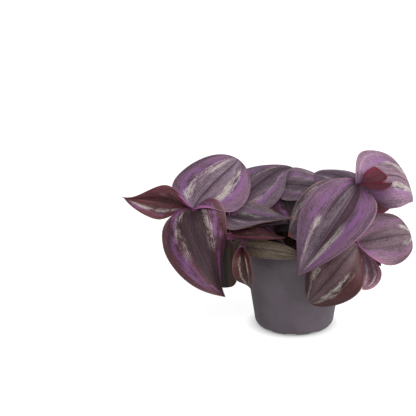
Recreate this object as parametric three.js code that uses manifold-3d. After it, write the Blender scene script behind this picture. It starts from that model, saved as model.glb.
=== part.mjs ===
// Potted tradescantia: a small plastic nursery pot, its peat and nine trailing leafy stems.
// Millimetres, +Z up, and -Y is the plant's front. The origin is on the ground, under the middle of the box
// around the whole plant.
import * as THREE from "three";
import { mergeVertices } from "three/addons/utils/BufferGeometryUtils.js";
import Module from "manifold-3d";

const wasm = await Module();
wasm.setup();

// ---- Driving dimensions: pot ----
const POT_AT = [17.24, -1.44, 0]; // the middle of its foot, from which all the points below are measured
const POT_HEIGHT = 55.5;
const RIM_RADIUS = 31;
const RIM_BAND_HEIGHT = 10.5;
const RIM_BAND_STEP = 0.5; // how far the band stands proud of the wall
const RIM_EDGE = 0.5;
const POT_WALL = 1.1;
const POT_TAPER = 0.16; // radius gained per millimetre of height
const HEEL_RADIUS = 5; // the rounding between wall and foot
const FOOT_RING_WIDTH = 1.7;
const FOOT_RING_SLOPE = 0.8;
const FLOOR_UNDERSIDE = 2.2;
const FLOOR_CORNER = 0.44; // how far the slope from the wall's foot runs in over the floor
const POT_SIDES = 40;
const HEEL_STEPS = 5;
const DRAIN_COUNT = 9;
const DRAIN_PHASE = -7; // degrees from the front
const NOTCH_WIDTH = 6;
const NOTCH_HEIGHT = 1.6;
const NOTCH_REACH = 12;
const DRAIN_HOLE_RADIUS = 2.4;
const DRAIN_RING_RADIUS = 12.6;
const DRAIN_HOLE_SIDES = 10;

// ---- Driving dimensions: peat ----
const SOIL_LEVEL = 48.5;
const SOIL_CROWN = 1.5;
const SOIL_LUMP = 0.7;
const SOIL_SHOULDER = 4; // the peat's side stands straight over this height
const SOIL_SIDES = 30;
const FIT_GAP = 0.42; // clear space between neighbouring pieces

// ---- Driving dimensions: stems ----
const STEM_RADIUS = 1.9; // at the root
const STEM_TIP_RADIUS = 1.3;
const SHEATH_LENGTH = 7; // the papery sleeve below each leaf
const SHEATH_FLARE = 0.9;
const STEM_SIDES = 6;
const STEM_STEP = 3.5;
const HOLE_TOP = 12; // how far above the peat a stem's hole is cut

// ---- Driving dimensions: leaves ----
const BLADE_THICKNESS = 0.7;
const BLADE_STATIONS = 10; // steps from base to tip
const BLADE_STRIPS = 4; // steps from margin to margin
const RIDGE_LIMIT = 0.6; // the midrib's ridge is at most the blade's thickness divided by this
const NECK_WIDTH = 2.4; // where the blade leaves the stem
const TIP_WIDTH = 1;
const CLASP_FADE = 6; // powers with which the clasp, the lobes and the fold die away along the midrib
const LOBE_FADE = 3;
const FOLD_FADE = 12;
const WAVE_RATE = 9; // radians of the margin's wave from base to tip
const WAVE_SHIFT = 2; // radians by which each margin's wave is shifted
// What a leaf is where its own row says nothing else. Degrees: `fold` is how far each half rises at the
// midrib, `curl` how far it turns on its way to the margin, `clasp` the extra fold at the base. Millimetres:
// `lobe` is how far the margins reach back past the base, `slant` how much further the one does than the
// other, and `wave` their ripple. `full` and `sharp` are the powers of the outline at base and tip, and the
// lower, the rounder. `lean` is the share by which one half is wider and the other narrower, and `twist` the
// degrees by which the blade has turned about its midrib at the tip.
const LEAF = {
  fold: 16, curl: -38, clasp: 30, lobe: 4, slant: 0, full: 0.55, sharp: 1.1, wave: 0.5, lean: 0, twist: 0,
};

// ---- The plant ----
// Each stem runs through its nodes, the first of them in the peat. A leaf grows from a node; its midrib
// passes `over` a point and ends at its `tip`, and its upper side looks towards `face`. `wide` is its full
// width.
const STEMS = [
  {
    name: "stem_left",
    nodes: [
      [-9, -6, 36], [-11, -8, 50], [-25, -15, 59.5], [-33, -18, 61.5], [-41, -20, 64], [-49, -20, 67],
      [-56, -18, 72], [-61, -15, 79],
    ],
    leaves: [
      {
        node: 7, over: [-81.5, -3, 79.5], tip: [-103.5, -20, 88], face: [-5.2, -7.1, 1.9], wide: 23.5,
        fold: 29, curl: -15, clasp: 60, lobe: 3, slant: -6, full: 1.2, sharp: 1.16, lean: 0.06,
      },
      {
        node: 7, over: [-54.5, -4, 85.5], tip: [-34, 25.5, 96.5], face: [-2, -2.7, 8.3], wide: 47,
        fold: 13, curl: -36, clasp: 75, lobe: 0, slant: -8.5, full: 0.68, sharp: 0.5, lean: 0.02, twist: 29,
      },
      {
        node: 7, over: [-59, -28.5, 63.5], tip: [-42.5, -32, 29.5], face: [-3.7, -0.5, 8.2], wide: 46,
        fold: 3, curl: -47, clasp: 42, lobe: 0.5, slant: 10.5, full: 0.38, sharp: 0.7, lean: 0.09,
        twist: -20,
      },
      { node: 4, over: [-44, -16, 48], tip: [-42, -13, 28], face: [-3, -9, 1], wide: 19, sharp: 0.3 },
      {
        node: 4, over: [-23, -35, 67], tip: [-7, -34, 68], face: [0, 0, 9], wide: 18,
        fold: 28, curl: 6, clasp: 0, lobe: 1,
      },
      { node: 3, over: [-36, -17, 54], tip: [-35, -16, 45], face: [1, -9, 1], wide: 13, fold: 10 },
    ],
  },
  {
    name: "stem_left_inner",
    nodes: [[-6, -1, 36], [-7, -1, 50], [-19, 0, 61], [-31, -1, 68], [-42, -4, 71.5]],
    leaves: [
      {
        node: 4, over: [-21, -18, 73], tip: [-2, -42, 83.5], face: [0.8, -5, 7.5], wide: 27,
        fold: 12, curl: -6, clasp: 13, lobe: 0, full: 0.35, sharp: 1.15, lean: 0.06, twist: -21,
      },
      {
        node: 4, over: [-17, 15.5, 88], tip: [-1, 18.5, 93.5], face: [1, -5, 8], wide: 36,
        fold: 11, curl: -42, full: 0.75, sharp: 1.3, lean: -0.05, twist: -28,
      },
      { node: 4, over: [-56, 10, 77], tip: [-66, 26, 73], face: [-1, 0, 9], wide: 28 },
      { node: 3, over: [-17, -12, 72], tip: [-5, -20, 71.5], face: [0, -2, 9], wide: 20 },
      {
        node: 4, over: [-32, 4, 64.8], tip: [-18, 9, 64.6], face: [0, -9, 2], wide: 19,
        clasp: 0, lobe: 9, full: 0.35, sharp: 0.6,
      },
    ],
  },
  {
    name: "stem_centre",
    nodes: [[2, 4, 36], [2, 5, 50], [-1, 11, 62], [-4, 17, 74], [-8, 18, 81]],
    leaves: [
      {
        node: 4, over: [0, 15, 84], tip: [26, 10, 82], face: [0, -4, 8], wide: 28.5,
        fold: 10, curl: -17, full: 0.77, sharp: 0.75,
      },
      { node: 3, over: [-2, -1, 73], tip: [5, -13, 68], face: [0, -1, 9], wide: 22 },
    ],
  },
  {
    name: "stem_right_top",
    nodes: [[8, -8, 36], [9, -8, 50], [16.5, -10, 66], [25, -16, 80], [32, -21, 90], [36, -25, 99]],
    leaves: [
      {
        node: 5, over: [22.5, -42, 83], tip: [0, -45.5, 48], face: [-2.2, -8.4, -2.3], wide: 43.5,
        fold: 35, curl: -23, clasp: 0, lobe: 0, slant: 5.5, full: 0.9, sharp: 1.01, twist: 40,
      },
      {
        node: 5, over: [60, -20, 101], tip: [69, -11.5, 83], face: [8.7, 0.3, 2.4], wide: 42,
        fold: 7, curl: -21, clasp: 30, lobe: 1.5, slant: 7, full: 0.43, sharp: 0.8, lean: 0.11, twist: 1,
      },
      {
        node: 5, over: [44, -33, 103.5], tip: [51, -42, 110], face: [1.9, 8.7, 1.1], wide: 11.5,
        fold: 14, curl: 22, clasp: 6, lobe: 0, full: 0.9, sharp: 0.62, lean: 0.24,
      },
      {
        node: 5, over: [46, -31, 98.3], tip: [54.5, -43, 105.2], face: [1.9, 8.7, 1.1], wide: 5,
        fold: 10, curl: 10, clasp: 0, lobe: 0, full: 1, sharp: 0.75,
      },
      {
        node: 4, over: [28, -5.5, 95.5], tip: [11.5, 8, 93.5], face: [0, -1, 9], wide: 31,
        fold: 5, curl: -48, full: 0.6, sharp: 0.5, lean: 0.06, twist: -6,
      },
      {
        node: 3, over: [12, -31.5, 79], tip: [-5, -26.5, 66], face: [-1.3, -8.3, 3.3], wide: 38.5,
        fold: 14, curl: 12, clasp: 18, lobe: 5.5, slant: -1.5, full: 0.39, sharp: 0.84, lean: 0.02,
        twist: 5,
      },
      {
        node: 3, over: [43, -10, 79.5], tip: [56.5, -7, 76.5], face: [-1, 8, -4], wide: 17,
        curl: -20, full: 0.5, sharp: 0.8,
      },
    ],
  },
  {
    name: "stem_right_low",
    nodes: [[14, -11, 36], [16, -12, 50], [24, -20, 60], [30, -30, 65.5], [35, -38, 65.5]],
    leaves: [
      {
        node: 4, over: [60.5, -30, 68], tip: [67.5, -24.5, 65], face: [6.4, -5.6, 2.8], wide: 32,
        fold: 10, curl: -25, clasp: 45, lobe: 0.5, slant: 5.5, full: 0.35, sharp: 0.9, lean: 0.08,
        twist: -28,
      },
      {
        node: 4, over: [22, -51.5, 53], tip: [7, -41, 30], face: [-0.4, -8.8, 2.1], wide: 41.5,
        fold: 7, curl: -48, clasp: 0, lobe: 0, slant: -2, full: 0.69, sharp: 0.65, lean: 0.07, twist: 20,
      },
      {
        node: 4, over: [43.5, -36, 48], tip: [38, -48, 40.5], face: [-3, -8.5, 1], wide: 13.5,
        fold: 32, curl: -8, clasp: 19, lobe: 0, slant: -1, full: 1.38, sharp: 1, lean: -0.18, twist: -14,
      },
      { node: 4, over: [43, -34, 58], tip: [50, -34, 49.5], face: [-1, 9, -2], wide: 13, lobe: 1 },
      { node: 2, over: [35, -8, 64.5], tip: [47, 2, 59], face: [2, 1, 9], wide: 24, lobe: 1 },
    ],
  },
  {
    name: "stem_front_left",
    nodes: [[-12, -12, 36], [-13, -13, 50], [-20, -20, 59], [-27, -24, 61], [-32, -25, 58]],
    leaves: [
      {
        node: 4, over: [-31, -37, 48], tip: [-27, -21.5, 30.5], face: [-2.4, -7.7, 4.1], wide: 14,
        fold: 27, curl: 6, clasp: 50, lobe: 1, full: 0.71, sharp: 1.01, lean: 0.05, twist: 6,
      },
      {
        node: 4, over: [-16, -34.5, 60], tip: [1, -36, 57.5], face: [0, -9, 5], wide: 11,
        fold: 14, curl: -20, full: 0.35, sharp: 0.5,
      },
    ],
  },
  {
    name: "stem_back_left",
    nodes: [[-10, 7, 36], [-11, 9, 50], [-21, 18, 61], [-31, 28, 66], [-38, 37, 64]],
    leaves: [
      { node: 4, over: [-46, 52, 54], tip: [-49, 61, 33], face: [-3, 8, 6], wide: 34, sharp: 0.9 },
      { node: 4, over: [-54, 34, 63], tip: [-67, 37, 50], face: [-4, 3, 9], wide: 28 },
      { node: 3, over: [-21, 38, 74], tip: [-9, 48, 66], face: [1, 4, 9], wide: 32 },
    ],
  },
  {
    name: "stem_back_right",
    nodes: [[9, 6, 36], [11, 8, 50], [20, 17, 61], [28, 27, 66], [34, 36, 64]],
    leaves: [
      { node: 4, over: [38, 51, 53], tip: [37, 60, 32], face: [3, 8, 6], wide: 34, sharp: 0.9 },
      { node: 4, over: [47, 31, 60], tip: [55, 36, 47], face: [4, 3, 9], wide: 26 },
      { node: 3, over: [19, 40, 74], tip: [8, 50, 66], face: [-1, 4, 9], wide: 32 },
      { node: 2, over: [37, 12, 70], tip: [51, 16, 65], face: [2, 1, 9], wide: 26 },
    ],
  },
  {
    name: "stem_back",
    nodes: [[0, 11, 36], [0, 14, 50], [-1, 26, 58], [-2, 36, 61], [-2, 44, 58]],
    leaves: [
      { node: 4, over: [-4, 57, 46], tip: [-3, 62, 23], face: [0, 9, 5], wide: 36 },
      { node: 3, over: [12, 44, 57], tip: [19, 55, 44], face: [2, 6, 8], wide: 22 },
      { node: 3, over: [-17, 44, 58], tip: [-25, 54, 45], face: [-2, 6, 8], wide: 24 },
    ],
  },
];

// ---- Solids ----

const vector = ([x, y, z]) => new THREE.Vector3(x, y, z);
const radians = THREE.MathUtils.degToRad;

// A closed surface through equal rings of points, each end drawn together to the middle of its ring. The
// rings run anticlockwise for someone who looks back along the row of rings from its end.
function skin(rings) {
  const count = rings[0].length;
  const middle = (ring) => ring.reduce((sum, p) => sum.add(p), new THREE.Vector3()).divideScalar(count);
  const points = [...rings.flat(), middle(rings[0]), middle(rings.at(-1))];
  const faces = [];
  for (let row = 0; row < rings.length; row++) {
    for (let i = 0; i < count; i++) {
      const a = row * count + i;
      const b = row * count + ((i + 1) % count);
      if (row === 0) faces.push(points.length - 2, b, a);
      if (row === rings.length - 1) faces.push(points.length - 1, a, b);
      else faces.push(a, b, b + count, a, b + count, a + count);
    }
  }
  return new THREE.BufferGeometry().setFromPoints(points).setIndex(faces);
}

function toSolid(geometry) {
  geometry.deleteAttribute("normal");
  geometry.deleteAttribute("uv");
  const merged = mergeVertices(geometry, 1e-4);
  const corners = [...merged.index.array];
  const kept = corners.filter((_, i) => {
    const [a, b, c] = corners.slice(i - (i % 3), i - (i % 3) + 3);
    return a !== b && b !== c && c !== a;
  });
  const mesh = new wasm.Mesh({
    numProp: 3,
    vertProperties: merged.attributes.position.array,
    triVerts: new Uint32Array(kept),
  });
  return new wasm.Manifold(mesh);
}

function toMesh(solid, name, material) {
  const { vertProperties, triVerts, numProp } = solid.getMesh();
  const geometry = new THREE.BufferGeometry();
  geometry.setAttribute("position", new THREE.BufferAttribute(vertProperties, numProp));
  geometry.setIndex(new THREE.BufferAttribute(triVerts, 1));
  geometry.translate(...POT_AT);
  geometry.computeVertexNormals();
  const mesh = new THREE.Mesh(geometry, material);
  mesh.name = name;
  return mesh;
}

// ---- Pot ----

const BAND_BOTTOM = POT_HEIGHT - RIM_BAND_HEIGHT;
const FLOOR_TOP = FLOOR_UNDERSIDE + POT_WALL;
const WALL_TOP_RADIUS = RIM_RADIUS - RIM_BAND_STEP;

// Outer radius of the tapered wall at a height, below the rim band.
const wallRadius = (z) => WALL_TOP_RADIUS - POT_TAPER * (BAND_BOTTOM - z);
const HEEL_CENTRE_RADIUS = wallRadius(HEEL_RADIUS) - HEEL_RADIUS;

function potSolid() {
  const bore = WALL_TOP_RADIUS - POT_WALL;
  const profile = new THREE.Path();
  profile.moveTo(0, FLOOR_UNDERSIDE);
  profile.lineTo(HEEL_CENTRE_RADIUS - FOOT_RING_WIDTH - FOOT_RING_SLOPE, FLOOR_UNDERSIDE);
  profile.lineTo(HEEL_CENTRE_RADIUS - FOOT_RING_WIDTH, 0);
  profile.absarc(HEEL_CENTRE_RADIUS, HEEL_RADIUS, HEEL_RADIUS, -Math.PI / 2, -Math.atan(POT_TAPER));
  profile.lineTo(WALL_TOP_RADIUS, BAND_BOTTOM);
  profile.lineTo(RIM_RADIUS, BAND_BOTTOM + RIM_BAND_STEP);
  profile.lineTo(RIM_RADIUS, POT_HEIGHT - RIM_EDGE);
  profile.lineTo(RIM_RADIUS - RIM_EDGE, POT_HEIGHT);
  profile.lineTo(bore + RIM_EDGE, POT_HEIGHT);
  profile.lineTo(bore, POT_HEIGHT - RIM_EDGE);
  profile.lineTo(bore, BAND_BOTTOM);
  profile.lineTo(wallRadius(HEEL_RADIUS) - POT_WALL, HEEL_RADIUS);
  profile.lineTo(wallRadius(FLOOR_TOP) - POT_WALL - FLOOR_CORNER, FLOOR_TOP);
  profile.lineTo(0, FLOOR_TOP);
  const lathe = new THREE.LatheGeometry(profile.getPoints(HEEL_STEPS), POT_SIDES);
  let pot = toSolid(lathe.rotateX(Math.PI / 2));
  for (let i = 0; i < DRAIN_COUNT; i++) {
    const turn = radians(DRAIN_PHASE + (i * 360) / DRAIN_COUNT);
    const notch = new THREE.BoxGeometry(NOTCH_WIDTH, NOTCH_REACH, 2 * NOTCH_HEIGHT)
      .translate(0, -(HEEL_CENTRE_RADIUS + HEEL_RADIUS / 2), 0)
      .rotateZ(turn);
    const bit = [DRAIN_HOLE_RADIUS, DRAIN_HOLE_RADIUS, 4 * FLOOR_TOP, DRAIN_HOLE_SIDES];
    const hole = new THREE.CylinderGeometry(...bit)
      .rotateX(Math.PI / 2)
      .translate(0, -DRAIN_RING_RADIUS, 0)
      .rotateZ(turn);
    pot = pot.subtract(toSolid(notch)).subtract(toSolid(hole));
  }
  return pot;
}

// ---- Stems ----

// Rings of points round the stem, a little wider under each leaf, where the leaf's sheath wraps it.
function stemRings(stem, extra) {
  const curve = new THREE.CatmullRomCurve3(stem.nodes.map(vector), false, "centripetal");
  const steps = Math.ceil(curve.getLength() / STEM_STEP);
  const sheathShare = SHEATH_LENGTH / curve.getLength();
  const nodeShares = stem.nodes.map((_, i) => i / (stem.nodes.length - 1)).slice(2);
  let across = new THREE.Vector3(0, 1, 0);
  return Array.from({ length: steps + 1 }, (_, i) => {
    const share = i / steps;
    const middle = curve.getPoint(share);
    const along = curve.getTangent(share);
    across = across.clone().addScaledVector(along, -across.dot(along)).normalize();
    const third = new THREE.Vector3().crossVectors(along, across);
    const toNode = Math.min(...nodeShares.map((s) => s - share).filter((s) => s > -0.02));
    const sheath = SHEATH_FLARE * Math.max(0, 1 - toNode / sheathShare);
    const radius = THREE.MathUtils.lerp(STEM_RADIUS, STEM_TIP_RADIUS, share) + sheath + extra;
    return Array.from({ length: STEM_SIDES }, (_, k) => {
      const turn = (k / STEM_SIDES) * 2 * Math.PI;
      return middle.clone()
        .addScaledVector(across, radius * Math.cos(turn))
        .addScaledVector(third, radius * Math.sin(turn));
    });
  });
}

// The plain hole that a stem stands in: its own lower rings, wider and starting a little deeper.
function stemHole(stem) {
  const rings = stemRings(stem, FIT_GAP).filter((ring) => ring[0].z < SOIL_LEVEL + HOLE_TOP);
  rings[0].forEach((point) => point.setZ(point.z - FIT_GAP));
  return toSolid(skin(rings));
}

// ---- Leaves ----

// Half the blade's width at u, from 0 at its base to 1 at its tip, as a share of the widest.
function outline(u, full, sharp) {
  const widest = full / (full + sharp);
  return (u / widest) ** full * ((1 - u) / (1 - widest)) ** sharp;
}

// The blade at u along its midrib and v from -1 at one margin to 1 at the other. The midrib is a parabola,
// and each half of the blade an arc across it. Returns the middle surface's point and the offset of a unit
// thickness.
function bladePoint(leaf, base, u, v) {
  const { over, tip, face, wide, fold, curl, clasp } = { ...LEAF, ...leaf };
  const { lobe, slant, full, sharp, wave, lean, twist } = { ...LEAF, ...leaf };
  const bend = vector(over).multiplyScalar(2).addScaledVector(base, -0.5).addScaledVector(vector(tip), -0.5);
  const midrib = new THREE.QuadraticBezierCurve3(base, bend, vector(tip));
  const along = midrib.getTangent(u);
  const up = vector(face).addScaledVector(along, -vector(face).dot(along)).normalize()
    .applyAxisAngle(along, radians(twist) * u);
  const right = new THREE.Vector3().crossVectors(along, up);
  const h = Math.abs(v);
  const side = Math.sign(v);
  const share = outline(u, full, sharp);
  const width = wide * share * (1 + lean * side);
  const half = Math.max(width, THREE.MathUtils.lerp(NECK_WIDTH, TIP_WIDTH, u)) / 2;
  const flatten = 1 - u ** FOLD_FADE;
  const start = radians(fold + clasp * (1 - u) ** CLASP_FADE) * flatten;
  const turn = radians(curl) * flatten - 1e-6; // never quite zero, so that the arc has a radius
  const angle = start + turn * h;
  const out = (half * (Math.sin(angle) - Math.sin(start))) / turn;
  const rise = (half * (Math.cos(start) - Math.cos(angle))) / turn;
  const ripple = wave * h * h * share * Math.sin(WAVE_RATE * u + WAVE_SHIFT * side);
  const point = midrib.getPoint(u)
    .addScaledVector(right, side * out)
    .addScaledVector(up, rise + ripple)
    .addScaledVector(along, (side * slant - lobe) * h * h * share * (1 - u) ** LOBE_FADE);
  const offset = h === 0
    ? up.clone().divideScalar(Math.max(Math.cos(start), RIDGE_LIMIT))
    : up.clone().multiplyScalar(Math.cos(angle)).addScaledVector(right, -side * Math.sin(angle));
  return { point, offset };
}

function bladeSolid(leaf, base) {
  const rings = Array.from({ length: BLADE_STATIONS + 1 }, (_, i) => {
    const u = (1 - Math.cos((Math.PI * i) / BLADE_STATIONS)) / 2;
    const across = Array.from({ length: BLADE_STRIPS + 1 }, (_, k) => {
      return bladePoint(leaf, base, u, (2 * k) / BLADE_STRIPS - 1);
    });
    const face = (side) => across.map(({ point, offset }) => {
      return point.clone().addScaledVector(offset, (side * BLADE_THICKNESS) / 2);
    });
    return [...face(1), ...face(-1).reverse()];
  });
  return toSolid(skin(rings));
}

// A stem and all its leaves, grown together as one body. Where leaves enclose a bubble, it is filled.
function leafyStemSolid(stem) {
  const blades = stem.leaves.map((leaf) => bladeSolid(leaf, vector(stem.nodes[leaf.node])));
  const fused = blades.reduce((body, blade) => body.add(blade), toSolid(skin(stemRings(stem, 0))));
  return fused.decompose()
    .reduce((largest, piece) => (piece.volume() > largest.volume() ? piece : largest));
}

// ---- Peat ----

// Height of the crumbs on the peat's top.
function lump(x, y) {
  return SOIL_LUMP * (Math.sin(0.9 * x + 1.3) * Math.cos(0.8 * y) + 0.5 * Math.sin(1.7 * y - 0.6 * x));
}

function soilSolid() {
  const innerRadius = (z) => wallRadius(z) - POT_WALL - FIT_GAP;
  const bottom = FLOOR_TOP + FIT_GAP;
  const bevel = HEEL_RADIUS - FLOOR_TOP;
  const top = innerRadius(SOIL_LEVEL - SOIL_SHOULDER);
  const profile = [
    new THREE.Vector2(0, bottom),
    new THREE.Vector2(innerRadius(bottom) - bevel / 2, bottom),
    new THREE.Vector2(innerRadius(bottom + bevel), bottom + bevel),
  ];
  for (const share of [1, 0.86, 0.7, 0.5, 0.27, 0]) {
    profile.push(new THREE.Vector2(top * share, SOIL_LEVEL + SOIL_CROWN * (1 - share * share)));
  }
  const lathe = new THREE.LatheGeometry(profile, SOIL_SIDES).rotateX(Math.PI / 2);
  const position = lathe.getAttribute("position");
  for (let i = 0; i < position.count; i++) {
    const z = position.getZ(i);
    if (z >= SOIL_LEVEL) position.setZ(i, z + lump(position.getX(i), position.getY(i)));
  }
  return STEMS.reduce((soil, stem) => soil.subtract(stemHole(stem)), toSolid(lathe));
}

// ---- The object ----

const finish = (color, roughness) => new THREE.MeshStandardMaterial({ color, roughness, metalness: 0 });
const potPlastic = finish(0x5b5357, 0.55);
const peat = finish(0x2a1d16, 0.95);
const leafPurple = finish(0x6f5068, 0.45);

const plant = new THREE.Group();
plant.add(toMesh(potSolid(), "pot", potPlastic));
plant.add(toMesh(soilSolid(), "soil", peat));
for (const stem of STEMS) plant.add(toMesh(leafyStemSolid(stem), stem.name, leafPurple));

export default plant;
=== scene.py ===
"""A potted tradescantia: the looks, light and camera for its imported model.

Blender works in metres here, +Z up and -Y to the front. The tables below are in millimetres from the middle
of the pot's foot, as in the model's source, and to_metres() turns them into places in the frame.
"""
import math

import bmesh
import bpy
import numpy as np
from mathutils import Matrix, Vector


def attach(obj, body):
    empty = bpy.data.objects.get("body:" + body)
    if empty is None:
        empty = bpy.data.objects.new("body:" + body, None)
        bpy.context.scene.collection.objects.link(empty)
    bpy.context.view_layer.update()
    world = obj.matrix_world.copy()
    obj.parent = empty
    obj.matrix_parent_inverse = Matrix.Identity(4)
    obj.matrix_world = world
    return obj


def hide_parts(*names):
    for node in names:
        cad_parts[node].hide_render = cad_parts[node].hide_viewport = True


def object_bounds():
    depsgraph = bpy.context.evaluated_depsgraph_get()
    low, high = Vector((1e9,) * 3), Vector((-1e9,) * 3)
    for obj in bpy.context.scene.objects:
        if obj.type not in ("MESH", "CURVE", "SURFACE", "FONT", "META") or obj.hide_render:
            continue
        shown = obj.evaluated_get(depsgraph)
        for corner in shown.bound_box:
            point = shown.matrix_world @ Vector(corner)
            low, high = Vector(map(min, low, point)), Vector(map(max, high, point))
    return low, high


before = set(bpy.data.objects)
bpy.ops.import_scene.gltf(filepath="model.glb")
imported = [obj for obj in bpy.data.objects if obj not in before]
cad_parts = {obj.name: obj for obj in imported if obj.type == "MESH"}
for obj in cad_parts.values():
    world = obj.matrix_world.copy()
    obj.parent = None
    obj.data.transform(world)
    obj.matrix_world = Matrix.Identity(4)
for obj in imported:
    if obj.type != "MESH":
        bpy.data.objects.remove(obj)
CAD_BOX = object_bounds()

# ---- Camera, as the photograph was taken: 416 x 416 pixels ----
ELEVATION = 19.5  # degrees above the horizon
DISTANCE = 1500
LOOKS_AT = (-52.7, 0, 74.3)  # the point that falls on the middle of the picture
LENS = 215.48
SENSOR = 36

# ---- Light and floor, in metres and watts ----
LAMPS = dict(
    key=dict(place=(1.2, -0.35, 0.9), size=0.9, watts=18),
    front=dict(place=(-0.1, -1.3, 1.3), size=1.4, watts=12),
)
LAMPS_AIM = (0, 0, 0.06)
ROOM_LIGHT = 0.3  # what the white room gives the plant; the camera sees it at 1
FLOOR_REACH = 4
FLOOR_SHADOW_REACH = 0.007

# ---- Pot ----
POT_AT = (17.24, -1.44, 0)
POT_HEIGHT = 55.5
RIM_RADIUS = 31
RIM_BAND_HEIGHT = 10.5
RIM_BAND_STEP = 0.5
RIM_EDGE = 0.5
POT_WALL = 1.1
POT_TAPER = 0.16
HEEL_RADIUS = 5
HEEL_STATIONS = 13
WALL_STATIONS = 9
CORNER_STATIONS = 5
FOOT_RING_WIDTH = 1.7
FOOT_RING_SLOPE = 0.8
FLOOR_UNDERSIDE = 2.2
DRAIN_COUNT = 9
DRAIN_PHASE = -7  # degrees from the front
NOTCH_WIDTH = 6
NOTCH_HEIGHT = 1.6
NOTCH_COLUMNS = 7  # of the pot's surface across a notch
SPAN_COLUMNS = 10  # and from there to the next one
DRAIN_HOLE_RADIUS = 2.4
DRAIN_HOLE_SIDES = 24
DRAIN_RING_RADIUS = 12.6
CREASE = 32  # degrees between two faces from which their edge is shown sharp

BAND_BOTTOM = POT_HEIGHT - RIM_BAND_HEIGHT
FLOOR_TOP = FLOOR_UNDERSIDE + POT_WALL
WALL_TOP_RADIUS = RIM_RADIUS - RIM_BAND_STEP
BORE = WALL_TOP_RADIUS - POT_WALL
HEEL_CENTRE_RADIUS = WALL_TOP_RADIUS - POT_TAPER * (BAND_BOTTOM - HEEL_RADIUS) - HEEL_RADIUS

# ---- Peat ----
SOIL_LEVEL = 48.5
SOIL_CROWN = 1.5
SOIL_GAP = 0.42
SOIL_SHOULDER = 46.5  # up to here the peat follows the pot's wall
SOIL_BEVEL = (0.9, 1.7)  # inwards and upwards, round its bottom edge
SOIL_SIDES = 120
SOIL_RINGS = 50
SOIL_LAST_RING = 0.4
LUMP_LENGTHS = (14, 9, 6, 4, 2.6, 1.7, 1.1)
LUMP_HEIGHT = 0.06
CRUMBS = 260
CRUMBS_REACH = 26.3

# ---- Stems ----
STEM_RADIUS = 1.9
STEM_TIP_RADIUS = 1.3
SHEATH_LENGTH = 7
SHEATH_FLARE = 0.9
KNUCKLE_LENGTH = 1.6
KNUCKLE_SWELL = 0.3
STEM_SIDES = 18
STEM_STEP = 0.7

# ---- Leaves: widths across a blade are shares of its half width, from the midrib to the margin ----
BLADE_THICKNESS = 0.5
MARGIN_THICKNESS = 0.2
BLADE_STATIONS = 46
HALF_BLADE = (0, 0.03, 0.07, 0.12, 0.18, 0.24, 0.3, 0.37, 0.44, 0.51, 0.58, 0.66, 0.74, 0.82, 0.9, 0.96, 1)
MIDRIB_ROUNDING = 0.05  # over which the fold at the midrib is rounded
FURROW_PLACE = 0.27
FURROW_WIDTH = 0.08
FURROW_END = 0.8  # share of the way to the tip
NECK_WIDTH = 2.4
TIP_WIDTH = 0.25
SILVER_WIDTH = 0.23
PURPLE_WIDTH = 0.33
PURPLE_OFFSET = 0.17  # beyond the middle of the silver
BAND_WIDTH = 0.16
MIDRIB_WIDTH = 0.07
VEIN_WAVES = 84  # radians of fine veins from the midrib to the margin

# What a leaf has where neither its look nor its row says otherwise. blade() explains the first line's words,
# and the comment below explains the second line's.
LEAF = dict(
    fold=16, curl=-38, clasp=30, lobe=4, slant=0, full=0.55, sharp=1.1, wave=0.5, lean=0, twist=0, pleat=0.25,
    stripe=0.42, side=0, band=0, blush=0.4, painted_shade=0, dry=0,
)

# How a leaf is coloured. skin, heart: its colour towards the margins and along the midrib. silver, violet:
# how strong its stripes are. reach: where along the midrib the silver starts and ends. stripe: how far from
# the midrib it runs. side: how much stronger one half's stripes are than the other's, and how much lighter
# that half is than the other, partly the leaf's own two tones and partly painted light and shade on a folded
# blade. band: where a band of painted shade runs beside the midrib, if it isn't 0. blush: how pink the
# margins are at the base. deep: painted shade, how much darker it is all over, and painted light where it is
# below 0. dry: how far its edge and tip have turned yellow and orange. seed: which pattern of streaks it
# has, left to chance where it isn't given. pleat is a word of shape, and it paints shade into its furrows
# too.
LOOKS = {
    "violet": dict(skin=(114, 85, 107), heart=(120, 100, 114), silver=1.0, violet=1.0, reach=(0.1, 0.95)),
    "dusk": dict(skin=(92, 54, 62), heart=(68, 46, 53), silver=0.8, violet=0.8, reach=(0.02, 0.85)),
    "wine": dict(skin=(96, 54, 58), heart=(68, 38, 42), silver=0.75, violet=0.2, reach=(0.15, 1.0)),
    "slate": dict(skin=(110, 89, 104), heart=(88, 70, 83), silver=0.35, violet=0.7, reach=(0.05, 0.95)),
    "rose": dict(skin=(140, 108, 127), heart=(116, 90, 102), silver=1.0, violet=0.5, reach=(0.3, 1.0)),
    "bronze": dict(skin=(84, 58, 52), heart=(96, 80, 70), silver=0.75, violet=0.2, reach=(0.2, 1.0)),
    "young": dict(skin=(128, 74, 84), heart=(116, 66, 76), silver=0.3, violet=0.1, reach=(0.2, 0.9)),
}
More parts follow.
